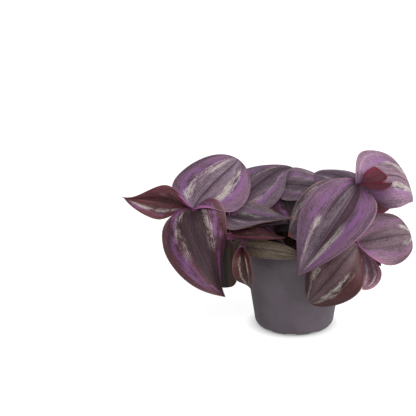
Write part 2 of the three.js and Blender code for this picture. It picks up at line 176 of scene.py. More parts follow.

# Each stem has the nodes that it passes through, from inside the peat outwards, and its leaves. node: the
# number of the node that a leaf grows from. over: the point halfway along its midrib. tip: where its midrib
# ends. face: the way that its upper side looks. wide: its full width.
# deep in a row is painted shade, for leaves that sit in shade inside the plant; where it is below 0 it is
# painted light, which lightens a leaf.
STEMS = {
    "stem_left": dict(
        nodes=[
            (-9, -6, 36), (-11, -8, 50), (-25, -15, 59.5), (-33, -18, 61.5), (-41, -20, 64), (-49, -20, 67),
            (-56, -18, 72), (-61, -15, 79),
        ],
        leaves=[
            dict(look="wine", node=7, over=(-81.5, -3, 79.5), tip=(-103.5, -20, 88), face=(-5.2, -7.1, 1.9),
                 wide=23.5, fold=29, curl=-15, clasp=60, lobe=3, slant=-6, full=1.2, sharp=1.16, lean=0.06,
                 skin=(108, 60, 66), heart=(92, 46, 52), silver=0.52, violet=0.6, stripe=0.48, side=-0.5,
                 blush=1, seed=0.51),
            dict(look="violet", node=7, over=(-54.5, -4, 85.5), tip=(-34, 25.5, 96.5), face=(-2, -2.7, 8.3),
                 wide=47, fold=13, curl=-36, clasp=75, lobe=0, slant=-8.5, full=0.68, sharp=0.5, lean=0.02,
                 twist=29, silver=0.8, stripe=0.39, reach=(0.12, 1.08), blush=1, seed=0.24),
            dict(look="dusk", node=7, over=(-59, -28.5, 63.5), tip=(-42.5, -32, 29.5), face=(-3.7, -0.5, 8.2),
                 wide=46, fold=3, curl=-47, clasp=42, lobe=0.5, slant=10.5, full=0.38, sharp=0.7, lean=0.09,
                 twist=-20, silver=0.58, reach=(0.02, 0.75), blush=0.15, seed=0.78),
            # This leaf is made near black by its heart and deep. That is painted shade, which fills the
            # shaded gap under the leaves on the left.
            dict(look="bronze", node=4, over=(-44, -16, 48), tip=(-42, -13, 28), face=(-3, -9, 1), wide=19,
                 sharp=0.3, skin=(84, 58, 40), heart=(40, 24, 20), silver=0, violet=0, painted_shade=0.95),
            dict(look="wine", node=4, over=(-23, -35, 67), tip=(-7, -34, 68), face=(0, 0, 9), wide=18,
                 fold=28, curl=6, clasp=0, lobe=1, silver=0.2, painted_shade=0.7),
            dict(look="bronze", node=3, over=(-36, -17, 54), tip=(-35, -16, 45), face=(1, -9, 1), wide=13,
                 fold=10, skin=(92, 78, 62), heart=(98, 84, 70)),
        ],
    ),
    "stem_left_inner": dict(
        nodes=[(-6, -1, 36), (-7, -1, 50), (-19, 0, 61), (-31, -1, 68), (-42, -4, 71.5)],
        leaves=[
            dict(look="slate", node=4, over=(-21, -18, 73), tip=(-2, -42, 83.5), face=(0.8, -5, 7.5), wide=27,
                 fold=12, curl=-6, clasp=13, lobe=0, full=0.35, sharp=1.15, lean=0.06, twist=-21,
                 skin=(126, 108, 120), heart=(96, 80, 92), silver=0.55, stripe=0.28, dry=1, seed=0.48),
            dict(look="slate", node=4, over=(-17, 15.5, 88), tip=(-1, 18.5, 93.5), face=(1, -5, 8), wide=36,
                 fold=11, curl=-42, full=0.75, sharp=1.3, lean=-0.05, twist=-28, silver=0.4, seed=0.16),
            dict(look="violet", node=4, over=(-56, 10, 77), tip=(-66, 26, 73), face=(-1, 0, 9), wide=28),
            # These two inner leaves are darkened by deep. That is painted shade, which fills shaded gaps
            # inside the plant.
            dict(look="slate", node=3, over=(-17, -12, 72), tip=(-5, -20, 71.5), face=(0, -2, 9), wide=20,
                 silver=0.2, painted_shade=0.6),
            dict(look="bronze", node=4, over=(-32, 4, 64.8), tip=(-18, 9, 64.6), face=(0, -9, 2), wide=19,
                 clasp=0, lobe=9, full=0.35, sharp=0.6, painted_shade=0.9),
        ],
    ),
    "stem_centre": dict(
        nodes=[(2, 4, 36), (2, 5, 50), (-1, 11, 62), (-4, 17, 74), (-8, 18, 81)],
        leaves=[
            dict(look="slate", node=4, over=(0, 15, 84), tip=(26, 10, 82), face=(0, -4, 8), wide=28.5,
                 fold=10, curl=-17, full=0.77, sharp=0.75, skin=(124, 104, 118), heart=(104, 88, 98)),
            dict(look="dusk", node=3, over=(-2, -1, 73), tip=(5, -13, 68), face=(0, -1, 9), wide=22,
                 silver=0.25, painted_shade=0.5),
        ],
    ),
    "stem_right_top": dict(
        nodes=[(8, -8, 36), (9, -8, 50), (16.5, -10, 66), (25, -16, 80), (32, -21, 90), (36, -25, 99)],
        leaves=[
            dict(look="violet", node=5, over=(22.5, -42, 83), tip=(0, -45.5, 48), face=(-2.2, -8.4, -2.3),
                 wide=43.5, fold=35, curl=-23, clasp=0, lobe=0, slant=5.5, full=0.9, sharp=1.01, twist=40,
                 silver=0.85, violet=0.85, stripe=0.4, reach=(0.5, 1.05), side=-0.2, band=-0.17, pleat=0.9,
                 seed=0.59),
            dict(look="rose", node=5, over=(60, -20, 101), tip=(69, -11.5, 83), face=(8.7, 0.3, 2.4), wide=42,
                 fold=7, curl=-21, clasp=30, lobe=1.5, slant=7, full=0.43, sharp=0.8, lean=0.11, twist=1,
                 skin=(140, 110, 130), heart=(130, 104, 118), silver=1.1, violet=0.7, stripe=0.4,
                 reach=(0.3, 1.1), blush=0.1, seed=0.74),
            dict(look="young", node=5, over=(44, -33, 103.5), tip=(51, -42, 110), face=(1.9, 8.7, 1.1),
                 wide=11.5, fold=14, curl=22, clasp=6, lobe=0, full=0.9, sharp=0.62, lean=0.24, painted_shade=-0.6),
            dict(look="young", node=5, over=(46, -31, 98.3), tip=(54.5, -43, 105.2), face=(1.9, 8.7, 1.1),
                 wide=5, fold=10, curl=10, clasp=0, lobe=0, full=1, sharp=0.75, painted_shade=-0.5),
            dict(look="violet", node=4, over=(28, -5.5, 95.5), tip=(11.5, 8, 93.5), face=(0, -1, 9), wide=31,
                 fold=5, curl=-48, full=0.6, sharp=0.5, lean=0.06, twist=-6, skin=(122, 100, 120),
                 heart=(100, 82, 98), silver=0.4),
            dict(look="slate", node=3, over=(12, -31.5, 79), tip=(-5, -26.5, 66), face=(-1.3, -8.3, 3.3),
                 wide=38.5, fold=14, curl=12, clasp=18, lobe=5.5, slant=-1.5, full=0.39, sharp=0.84,
                 lean=0.02, twist=5, silver=0.7, violet=0.2, stripe=0.8, reach=(0, 1), painted_shade=-0.1, dry=0.4),
            # deep below 0 paints light into this leaf, which sits in shade.
            dict(look="young", node=3, over=(43, -10, 79.5), tip=(56.5, -7, 76.5), face=(-1, 8, -4), wide=17,
                 curl=-20, full=0.5, sharp=0.8, painted_shade=-1),
        ],
    ),
    "stem_right_low": dict(
        nodes=[(14, -11, 36), (16, -12, 50), (24, -20, 60), (30, -30, 65.5), (35, -38, 65.5)],
        leaves=[
            dict(look="rose", node=4, over=(60.5, -30, 68), tip=(67.5, -24.5, 65), face=(6.4, -5.6, 2.8),
                 wide=32, fold=10, curl=-25, clasp=45, lobe=0.5, slant=5.5, full=0.35, sharp=0.9, lean=0.08,
                 twist=-28, skin=(116, 86, 101), heart=(106, 82, 93), reach=(0.5, 1.05), blush=0.45,
                 seed=0.22),
            dict(look="bronze", node=4, over=(22, -51.5, 53), tip=(7, -41, 30), face=(-0.4, -8.8, 2.1),
                 wide=41.5, fold=7, curl=-48, clasp=0, lobe=0, slant=-2, full=0.69, sharp=0.65, lean=0.07,
                 twist=20, skin=(74, 36, 38), heart=(94, 70, 76), silver=0.65, violet=0.15, stripe=0.44,
                 reach=(0.3, 1.3), seed=0.16),
            # Its heart is lighter than the rose look's: painted light for a leaf that hangs in shade.
            dict(look="rose", node=4, over=(43.5, -36, 48), tip=(38, -48, 40.5), face=(-3, -8.5, 1),
                 wide=13.5, fold=32, curl=-8, clasp=19, lobe=0, slant=-1, full=1.38, sharp=1, lean=-0.18,
                 twist=-14, skin=(146, 104, 116), heart=(134, 98, 114), silver=0.9, blush=0.2, seed=0.3),
            dict(look="young", node=4, over=(43, -34, 58), tip=(50, -34, 49.5), face=(-1, 9, -2), wide=13,
                 lobe=1),
            dict(look="dusk", node=2, over=(35, -8, 64.5), tip=(47, 2, 59), face=(2, 1, 9), wide=24, lobe=1),
        ],
    ),
    "stem_front_left": dict(
        nodes=[(-12, -12, 36), (-13, -13, 50), (-20, -20, 59), (-27, -24, 61), (-32, -25, 58)],
        leaves=[
            dict(look="wine", node=4, over=(-31, -37, 48), tip=(-27, -21.5, 30.5), face=(-2.4, -7.7, 4.1),
                 wide=14, fold=27, curl=6, clasp=50, lobe=1, full=0.71, sharp=1.01, lean=0.05, twist=6,
                 skin=(98, 50, 48), heart=(76, 40, 40), silver=0.7, painted_shade=0.2),
            dict(look="bronze", node=4, over=(-16, -34.5, 60), tip=(1, -36, 57.5), face=(0, -9, 5), wide=11,
                 fold=14, curl=-20, full=0.35, sharp=0.5, skin=(100, 86, 70), heart=(100, 86, 74), silver=0.3,
                 stripe=0.25, reach=(0, 1)),
        ],
    ),
    "stem_back_left": dict(
        nodes=[(-10, 7, 36), (-11, 9, 50), (-21, 18, 61), (-31, 28, 66), (-38, 37, 64)],
        leaves=[
            dict(look="violet", node=4, over=(-46, 52, 54), tip=(-49, 61, 33), face=(-3, 8, 6), wide=34,
                 sharp=0.9),
            dict(look="dusk", node=4, over=(-54, 34, 63), tip=(-67, 37, 50), face=(-4, 3, 9), wide=28),
            dict(look="violet", node=3, over=(-21, 38, 74), tip=(-9, 48, 66), face=(1, 4, 9), wide=32),
        ],
    ),
    "stem_back_right": dict(
        nodes=[(9, 6, 36), (11, 8, 50), (20, 17, 61), (28, 27, 66), (34, 36, 64)],
        leaves=[
            dict(look="dusk", node=4, over=(38, 51, 53), tip=(37, 60, 32), face=(3, 8, 6), wide=34,
                 sharp=0.9),
            dict(look="violet", node=4, over=(47, 31, 60), tip=(55, 36, 47), face=(4, 3, 9), wide=26),
            dict(look="rose", node=3, over=(19, 40, 74), tip=(8, 50, 66), face=(-1, 4, 9), wide=32),
            dict(look="dusk", node=2, over=(37, 12, 70), tip=(51, 16, 65), face=(2, 1, 9), wide=26),
        ],
    ),
    "stem_back": dict(
        nodes=[(0, 11, 36), (0, 14, 50), (-1, 26, 58), (-2, 36, 61), (-2, 44, 58)],
        leaves=[
            dict(look="violet", node=4, over=(-4, 57, 46), tip=(-3, 62, 23), face=(0, 9, 5), wide=36),
            dict(look="wine", node=3, over=(12, 44, 57), tip=(19, 55, 44), face=(2, 6, 8), wide=22),
            dict(look="dusk", node=3, over=(-17, 44, 58), tip=(-25, 54, 45), face=(-2, 6, 8), wide=24),
        ],
    ),
}

rng = np.random.default_rng(7)


def to_metres(points):
    """Places in the frame, from millimetres measured from the middle of the pot's foot."""
    return (np.asarray(points, float) + POT_AT) / 1000


def unit(vectors):
    """Vectors divided by their lengths."""
    return vectors / np.linalg.norm(vectors, axis=-1, keepdims=True)


# ---- Colours ----


def srgb(red, green, blue):
    """A colour as seen on a screen, 0 to 255, as the light it stands for."""
    parts = np.array([red, green, blue]) / 255
    light = np.where(parts <= 0.04045, parts / 12.92, ((parts + 0.055) / 1.055) ** 2.4)
    return (*(float(part) for part in light), 1.0)


def grey(light):
    return (light, light, light, 1.0)


SILVER = srgb(186, 178, 170)
PURPLE = srgb(142, 92, 148)
# Painted shade: the colour laid beside the midrib and into the furrows.
PAINTED_SHADE_BAND = srgb(64, 34, 48)
DARK_MIDRIB = srgb(58, 32, 42)
PALE_MARGIN = srgb(186, 146, 160)
PINK_BASE = srgb(182, 104, 164)
DRY_MARGIN = srgb(140, 118, 52)
DRY_TIP = srgb(214, 120, 60)
WINE_UNDERSIDE = srgb(110, 62, 70)
WINE_UNDERSIDE_EDGE = srgb(140, 52, 74)
PURPLE_UNDERSIDE_BASE = srgb(170, 84, 158)
BROWN_STALK = srgb(92, 74, 58)
PLUM_STALK = srgb(104, 58, 84)
MAGENTA_SHEATH = srgb(154, 70, 130)
POT_TAUPE = srgb(92, 82, 89)
POT_PALE_TAUPE = srgb(104, 94, 102)
POT_DUST = srgb(122, 114, 112)
PEAT_DARK = srgb(38, 24, 16)
PEAT_BROWN = srgb(78, 54, 38)
PEAT_FIBRE = srgb(128, 98, 66)
FLOOR_SHADOW = (0.2, 0.22, 0.21, 1.0)


# ---- Materials ----


class Term:
    """A number in a material, which can be added, multiplied and so on like any other."""

    def __init__(self, nodes, socket):
        self.nodes = nodes
        self.socket = socket

    def math(self, operation, *others, first=None):
        values = [self, *others] if first is None else [first, self]
        return self.nodes.node("Math", dict(enumerate(values)), operation=operation)

    def __add__(self, other):
        return self.math("ADD", other)

    def __sub__(self, other):
        return self.math("SUBTRACT", other)

    def __rsub__(self, other):
        return self.math("SUBTRACT", first=other)

    def __mul__(self, other):
        return self.math("MULTIPLY", other)

    def __truediv__(self, other):
        return self.math("DIVIDE", other)

    def __rtruediv__(self, other):
        return self.math("DIVIDE", first=other)

    def __abs__(self):
        return self.math("ABSOLUTE")

    __radd__ = __add__
    __rmul__ = __mul__

    def sine(self):
        return self.math("SINE")

    def rise(self, low, high):
        """0 below low, 1 above high, and a smooth climb between them."""
        inputs = {"Value": self, "From Min": low, "From Max": high}
        return self.nodes.node("MapRange", inputs, interpolation_type="SMOOTHSTEP")

    def bell(self, middle, width):
        """1 at middle, falling smoothly to 0 at width from it on either side."""
        return 1 - (abs(self - middle) / width).rise(0, 1)


class Nodes:
    """A tree of nodes, and the one method that adds a node to it."""

    def __init__(self, tree):
        self.tree = tree

    def node(self, kind, inputs=(), output=0, **settings):
        """Adds a node with these settings, feeds its sockets with terms or constants; returns an output."""
        node = self.tree.nodes.new("ShaderNode" + kind)
        for key, value in settings.items():
            setattr(node, key, value)
        for key, value in dict(inputs).items():
            self.feed(node.inputs[key], value)
        return Term(self, node.outputs[output])

    def feed(self, socket, value):
        if isinstance(value, Term):
            self.tree.links.new(value.socket, socket)
        elif socket.type == "VECTOR":
            socket.default_value = value[:3]
        else:
            socket.default_value = value


class Shader(Nodes):
    """One material. Its keywords set the shader's own sockets, such as Roughness=0.5."""

    def __init__(self, name, **fixed):
        self.material = bpy.data.materials.new(name)
        self.material.use_nodes = True
        super().__init__(self.material.node_tree)
        self.principled = self.tree.nodes["Principled BSDF"]
        for socket, value in fixed.items():
            self.principled.inputs[socket.replace("_", " ")].default_value = value

    def mix(self, one, other, share):
        """Colour one where share is 0 and the other where it is 1."""
        inputs = {"Factor": share, 6: one, 7: other}
        return self.node("Mix", inputs, output=2, data_type="RGBA")

    def scaled(self, colour, amount):
        """A colour made lighter or darker."""
        return self.node("VectorMath", {0: colour, "Scale": amount}, output="Vector", operation="SCALE")

    def stretched(self, place, amounts):
        """A place with each of its three measures multiplied by its own amount."""
        return self.node("VectorMath", {0: place, 1: amounts}, operation="MULTIPLY")

    def vector(self, x, y, z):
        return self.node("CombineXYZ", {0: x, 1: y, 2: z})

    def split(self, vector):
        first = self.node("SeparateXYZ", {0: vector})
        return [Term(self, output) for output in first.socket.node.outputs]

    def attribute(self, name, output="Vector"):
        return self.node("Attribute", output=output, attribute_name=name)

    def place(self):
        return self.node("TexCoord", output="Object")

    def noise(self, vector, scale=1.0, detail=2.0, roughness=0.5):
        inputs = {"Vector": vector, "Scale": scale, "Detail": detail, "Roughness": roughness}
        return self.node("TexNoise", inputs, output="Fac")

    def finish(self, colour, roughness, height, depth):
        """Joins the shader's colour, roughness and a bump, its depth in metres, and returns the material."""
        normal = self.node("Bump", {"Height": height, "Distance": depth}, output="Normal")
        self.feed(self.principled.inputs["Base Color"], colour)
        self.feed(self.principled.inputs["Roughness"], roughness)
        self.feed(self.principled.inputs["Normal"], normal)
        return self.material


def leaf_material():
    """Striped above, wine red below; u runs from base to tip, v between the margins, h from the midrib out.

    A stripe is a bell over h that a slow noise sways. It is multiplied by a window along u and frayed by
    streaks along the blade, patches and a fine grain. The leaf's own numbers are attributes of its points.
    """
    shader = Shader("leaf", Specular_IOR_Level=0.35)
    u, across, _ = shader.split(shader.node("UVMap", uv_map="blade"))
    v = across * 2 - 1
    h = abs(v)
    skin, heart = shader.attribute("skin"), shader.attribute("heart")
    silver, violet, seed = shader.split(shader.attribute("stripes"))
    start, end, middle = shader.split(shader.attribute("reach"))
    side, band, blush = shader.split(shader.attribute("halves"))
    painted_shade, dry, under = shader.split(shader.attribute("age"))
    furrow = shader.attribute("furrow", "Fac")

    sway = shader.noise(shader.vector(u * 3, v * 0.7, seed * 40)) - 0.5
    streak = shader.noise(shader.vector(u * 6, v * 26, seed * 40), detail=5.0, roughness=0.7) - 0.5
    patch = shader.noise(shader.vector(u * 6, v * 5, seed * 60), detail=4.0, roughness=0.6) - 0.5
    ply = shader.noise(shader.vector(u * 1.1, v * 4.5, seed * 80), detail=1.0) - 0.5
    grain = shader.noise(shader.place(), 800.0, detail=5.0, roughness=0.75) - 0.5
    veins = (v * VEIN_WAVES + sway * 8 + patch * 5).sine()

    # favour strengthens one half's stripes and weakens the other's. It also lightens that half and darkens
    # the other, partly the leaf's own two tones and partly painted light and shade on the halves of a folded
    # blade.
    favour = 1 + side * (v.rise(-0.1, 0.1) * 2 - 1)
    stripe = h + sway * 0.3
    window = u.rise(start - 0.06, start + 0.14) * (1 - u.rise(end - 0.2, end + 0.02))
    silvery = stripe.bell(middle, SILVER_WIDTH) * window * silver * favour
    silvery = (silvery * (0.75 + streak * 3.6 + patch * 3.4 + grain * 1.6)).rise(0.1, 0.95)
    purple = stripe.bell(middle + PURPLE_OFFSET, PURPLE_WIDTH) * (1 - u.rise(0.86, 1.02)) * violet * favour
    purple = (purple * (0.85 + streak * 2.4 + patch * 5.0 + grain)).rise(0.15, 1.0)
    # Painted shade: a band beside the midrib, where one half of a folded blade lies in shade, and the furrows
    # that pleat sinks into the blade.
    band_shade = 1 - (abs(v - band) / BAND_WIDTH).rise(0.4, 1.0)
    band_shade = band_shade * abs(band).rise(0.01, 0.02) * (1 - u.rise(0.7, 1.0))
    furrow_shade = h.bell(0.3, 0.1) * u.bell(0.35, 0.45) * furrow
    dark = (band_shade + furrow_shade * (0.9 + streak * 2)).rise(0, 1)

    upper = shader.mix(skin, heart, 1 - (h + ply * 0.3).rise(0.2, 0.5))
    tone = 1 + ply * 1.3 + patch * 1.3 + streak * 1.6 + grain * 2.0 + veins * 0.14
    # deep paints shade over the whole upper side, and where it is below 0 it paints light instead.
    upper = shader.scaled(upper, tone * (1 - painted_shade * 0.6) * (0.8 + favour * 0.2))
    # Here the band and the furrows get their painted shade.
    upper = shader.mix(upper, PAINTED_SHADE_BAND, dark * 0.82)
    upper = shader.mix(upper, PURPLE, purple * (1 - dark) * 0.68)
    upper = shader.mix(upper, shader.scaled(SILVER, 1 + streak + grain), silvery * 0.88)
    upper = shader.mix(upper, DARK_MIDRIB, h.bell(0.0, MIDRIB_WIDTH) * 0.8)
    rim = shader.mix(shader.mix(skin, PALE_MARGIN, 0.4), DRY_MARGIN, dry)
    upper = shader.mix(upper, rim, h.rise(0.95, 0.985) * 0.75)
    pink = ((1 - u.rise(0.06, 0.26)) * h.rise(0.7, 0.86) + (1 - u.rise(0.0, 0.05))) * blush
    upper = shader.mix(upper, PINK_BASE, pink.rise(0, 1))
    upper = shader.mix(upper, DRY_TIP, dry * u.rise(0.93, 0.99))

    redness = h.rise(0.4, 0.95) * 0.8 + veins * 0.1 + patch * 1.5
    lower = shader.mix(WINE_UNDERSIDE, WINE_UNDERSIDE_EDGE, redness)
    # deep paints the same shade, or light, into the underside.
    lower = shader.scaled(lower, (1 + streak + grain + ply) * (1 - painted_shade * 0.6))
    lower = shader.mix(lower, PURPLE_UNDERSIDE_BASE, (1 - u.rise(0.0, 0.2)) * 0.6)

    colour = shader.mix(upper, lower, under.rise(0.3, 0.7))
    height = veins * 0.1 + grain * 0.5 + streak * 0.8 + ply
    return shader.finish(colour, 0.5 + streak * 0.3 + silvery * 0.06, height, 0.00022)


def stem_material():
    """Brown and plum stalks with fine lines along them, magenta towards the top of each sheath."""
    shader = Shader("stem", Specular_IOR_Level=0.45)
    place = shader.place()
    blush = shader.attribute("blush", "Fac")
    mottle = shader.noise(place, 260.0, detail=4.0)
    lines = shader.noise(shader.stretched(place, (900, 900, 60)))
    stalk = shader.mix(BROWN_STALK, PLUM_STALK, mottle.rise(0.35, 0.65))
    colour = shader.mix(stalk, MAGENTA_SHEATH, blush * (0.45 + mottle * 0.5))
    return shader.finish(colour, 0.45 + mottle * 0.15, lines, 0.0002)


def pot_material():
    """Matt taupe plastic, faintly ringed and scuffed by its mould."""
    shader = Shader("pot_plastic", Specular_IOR_Level=0.4)
    place = shader.place()
    _, _, z = shader.split(place)
    cloud = shader.noise(place, 55.0, detail=4.0)
    peel = shader.noise(place, 1500.0)
    rings = (z * 5200).sine() * 0.5 + 0.5
    dust = shader.noise(place, 420.0, detail=5.0, roughness=0.7)
    colour = shader.mix(POT_TAUPE, POT_PALE_TAUPE, cloud.rise(0.35, 0.65))
    colour = shader.mix(colour, POT_DUST, dust.rise(0.62, 0.8) * 0.25)
    return shader.finish(colour, 0.5 + cloud * 0.12, peel * 0.7 + rings * 0.12, 0.00008)


def peat_material():
    """Dark crumbly peat with paler fibres."""
    shader = Shader("peat", Specular_IOR_Level=0.25)
    place = shader.place()
    lumps = shader.noise(place, 420.0, detail=6.0, roughness=0.7)
    fibres = shader.noise(shader.stretched(place, (300, 1700, 900)))
    colour = shader.mix(PEAT_DARK, PEAT_BROWN, lumps.rise(0.4, 0.7))
    colour = shader.mix(colour, PEAT_FIBRE, fibres.rise(0.68, 0.76) * 0.6)
    return shader.finish(colour, 0.85 + lumps * 0.1, lumps + fibres * 0.4, 0.0008)


def floor_material():
    """White paper that glows to the camera, so that real shadows barely show on it; a painted shadow, from
    ambient occlusion, dims its glow close to the pot's foot.
    """
    shader = Shader("floor", Roughness=0.9, Specular_IOR_Level=0.1, Emission_Strength=1.0)
    shader.principled.inputs["Base Color"].default_value = grey(0.4)
    seen = shader.node("LightPath", output="Is Camera Ray")
    clear = shader.node("AmbientOcclusion", {"Distance": FLOOR_SHADOW_REACH}, output="AO", samples=12)
    # Painted shadow: the glow falls towards FLOOR_SHADOW where ambient occlusion finds the pot close.
    glow = shader.mix(grey(0.3), shader.mix(FLOOR_SHADOW, grey(0.9), clear), seen)
    shader.feed(shader.principled.inputs["Emission Color"], glow)
    return shader.material


# ---- Meshes ----


def make_piece(name, points, faces, material, replaces=(), numbers=None, uv=None):
    """One closed mesh in the frame. numbers holds a value or a vector for each point, by attribute name."""
    mesh = bpy.data.meshes.new(name)
    mesh.from_pydata(points.tolist(), [], faces)
    mesh.materials.append(material)
    mesh.polygons.foreach_set("use_smooth", [True] * len(mesh.polygons))
    for key, values in (numbers or {}).items():
        values = np.asarray(values, np.float32)
        kind, field = ("FLOAT_VECTOR", "vector") if values.ndim == 2 else ("FLOAT", "value")
        mesh.attributes.new(key, kind, "POINT").data.foreach_set(field, values.ravel())
    if uv is not None:
        corners = np.empty(len(mesh.loops), np.int32)
        mesh.loops.foreach_get("vertex_index", corners)
        mesh.uv_layers.new(name="blade").data.foreach_set("uv", uv[corners].ravel())
    piece = bpy.data.objects.new(name, mesh)
    bpy.context.scene.collection.objects.link(piece)
    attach(piece, "root")
    if replaces:
        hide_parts(*replaces)
    return piece


def circle(sides):
    """Points of a circle of radius 1 about the origin, counted from +X towards +Y."""
    turns = np.arange(sides) / sides * 2 * np.pi
    return np.stack([np.cos(turns), np.sin(turns)], axis=1)


def skin_faces(rows, count):
    """The faces of a closed surface through equal rings, numbered ring by ring.

    Four neighbouring points of two rings make a face. A fan closes each end ring onto a point of its own, and
    those two points come after all the rings.
    """
    here = np.arange(rows * count).reshape(rows, count)
    beside = np.roll(here, -1, axis=1)
    sides = np.stack([here[:-1], beside[:-1], beside[1:], here[1:]], axis=-1).reshape(-1, 4)
    first = np.stack([np.full(count, rows * count), beside[0], here[0]], axis=-1)
    last = np.stack([np.full(count, rows * count + 1), here[-1], beside[-1]], axis=-1)
    return [*first.tolist(), *sides.tolist(), *last.tolist()]


def with_ends(rings):
    """The rings' points in one row, and the middle of the first and of the last ring after them."""
    flat = rings.reshape(-1, rings.shape[-1])
    return np.vstack([flat, rings[0].mean(0), rings[-1].mean(0)])


def joined(parts):
    """Several (points, faces) as one."""
    faces, start = [], 0
    for points, part in parts:
        faces += [tuple(corner + start for corner in face) for face in part]
        start += len(points)
    return np.vstack([points for points, _ in parts]), faces


# ---- Leaves ----


def blade(leaf, base):
    """A leaf's middle surface over a grid of u, from base to tip, and v, from margin to margin.

    The midrib is a parabola from the base to the tip that is at the point over halfway. The width grows as u
    to the power full and falls as 1 - u to the power sharp. Each half leaves the midrib at the angle fold and
    turns by curl on its way to the margin, so it is an arc; the point is the sum of small steps along it.
    clasp folds the base further, lobe draws the margins back past it, slant the one more than the other, wave
    ripples them, lean widens one half and narrows the other, twist turns the blade about its midrib, up to
    that many degrees at the tip, and pleat sinks a furrow on each side of the midrib. At the very tip every
    fold flattens out.
    """
    over, tip, face = (np.array(leaf[key], float) for key in ("over", "tip", "face"))
    u = (1 - np.cos(np.pi * np.arange(BLADE_STATIONS + 1) / BLADE_STATIONS)) / 2
    u = u[:, None]
    bend = 2 * over - base / 2 - tip / 2
    midrib = (1 - u) ** 2 * base + 2 * u * (1 - u) * bend + u**2 * tip
    along = unit((1 - u) * (bend - base) + u * (tip - bend))
    up = unit(face - (along @ face)[:, None] * along)
    right = np.cross(along, up)
    turn = np.radians(leaf["twist"]) * u
    up, right = up * np.cos(turn) + right * np.sin(turn), right * np.cos(turn) - up * np.sin(turn)

    h = np.array(HALF_BLADE)[None, :]
    full, sharp = leaf["full"], leaf["sharp"]
    widest = full / (full + sharp)
    share = (u / widest) ** full * ((1 - u) / (1 - widest)) ** sharp
    neck = NECK_WIDTH + (TIP_WIDTH - NECK_WIDTH) * u
    flat = 1 - u**12
    start = np.radians(leaf["fold"] + leaf["clasp"] * (1 - u) ** 6) * flat
    angle = start * (1 - np.exp(-((h / MIDRIB_ROUNDING) ** 2))) + np.radians(leaf["curl"]) * flat * h

    def walk(steps):
        middles = (steps[:, 1:] + steps[:, :-1]) / 2 * np.diff(h)
        return np.hstack([np.zeros((len(u), 1)), np.cumsum(middles, axis=1)])

    out, rise = walk(np.cos(angle)), walk(np.sin(angle))
    furrow = np.exp(-(((h - FURROW_PLACE) / FURROW_WIDTH) ** 2))
    furrow = furrow * np.sin(np.pi * np.clip(u / FURROW_END, 0, 1))

    def side(sign):
        half = np.maximum(leaf["wide"] * share * (1 + sign * leaf["lean"]), neck) / 2
        ripple = leaf["wave"] * h**2 * share * np.sin(9 * u + 2 * sign)
        lift = half * rise + ripple - leaf["pleat"] * share * furrow
        ahead = (sign * leaf["slant"] - leaf["lobe"]) * h**2 * share * (1 - u) ** 3
        steps = ((sign * half * out, right), (lift, up), (ahead, along))
        return midrib[:, None, :] + sum(amount[..., None] * way[:, None, :] for amount, way in steps)

    surface = np.concatenate([side(-1)[:, :0:-1], side(1)], axis=1)
    v = np.concatenate([-h[0, :0:-1], h[0]])
    return surface, u[:, 0], v


def leaf_solid(leaf, base):
    """A leaf's middle surface with half its thickness added on each side, thinner towards the margin.

    Returns the points, the faces, each point's u and v for the material, and 0 above or 1 below.
    """
    surface, u, v = blade(leaf, base)
    normal = unit(np.cross(np.gradient(surface, axis=1), np.gradient(surface, axis=0)))
    thick = MARGIN_THICKNESS + (BLADE_THICKNESS - MARGIN_THICKNESS) * (1 - np.abs(v) ** 5)
    offset = normal * thick[None, :, None] / 2
    grid = np.stack(np.broadcast_arrays(u[:, None], (v + 1) / 2), axis=-1)

    def ring(one, other):
        return np.concatenate([one, other[:, ::-1]], axis=1)

    points = with_ends(ring(surface + offset, surface - offset))
    uv = with_ends(ring(grid, grid))
    under = with_ends(ring(np.zeros((*grid.shape[:2], 1)), np.ones((*grid.shape[:2], 1))))
    return points, skin_faces(len(u), 2 * len(v)), uv, under


def leaves_piece(name, stem, material):
    """All leaves of a stem as one piece, with the numbers of each leaf's look on its points."""
    parts, uvs, looks = [], [], []
    for row in stem["leaves"]:
        drawn = round(rng.random(), 2)  # for every leaf, so a seed given to one doesn't change the others
        leaf = {**LEAF, **LOOKS[row["look"]], "seed": drawn, **row}
        points, faces, uv, under = leaf_solid(leaf, np.array(stem["nodes"][leaf["node"]], float))
        parts.append((to_metres(points), faces))
        uvs.append(uv)
        ones = np.ones((len(points), 1))
        looks.append(
            dict(
                skin=ones * srgb(*leaf["skin"])[:3],
                heart=ones * srgb(*leaf["heart"])[:3],
                stripes=ones * [leaf["silver"], leaf["violet"], leaf["seed"]],
                reach=ones * [*leaf["reach"], leaf["stripe"]],
                halves=ones * [leaf["side"], leaf["band"], leaf["blush"]],
                age=np.hstack([ones * [leaf["painted_shade"], leaf["dry"]], under]),
                furrow=ones[:, 0] * leaf["pleat"],
            )
        )
    points, faces = joined(parts)
    points = np.clip(points, *CAD_BOX)  # smooth blades bulge a hair past the solids' flat facets
    numbers = {key: np.concatenate([look[key] for look in looks]) for key in looks[0]}
    solids = ["stem_" + name]
    make_piece("leaves_" + name, points, faces, material, solids, numbers, np.vstack(uvs))


# ---- Stems ----


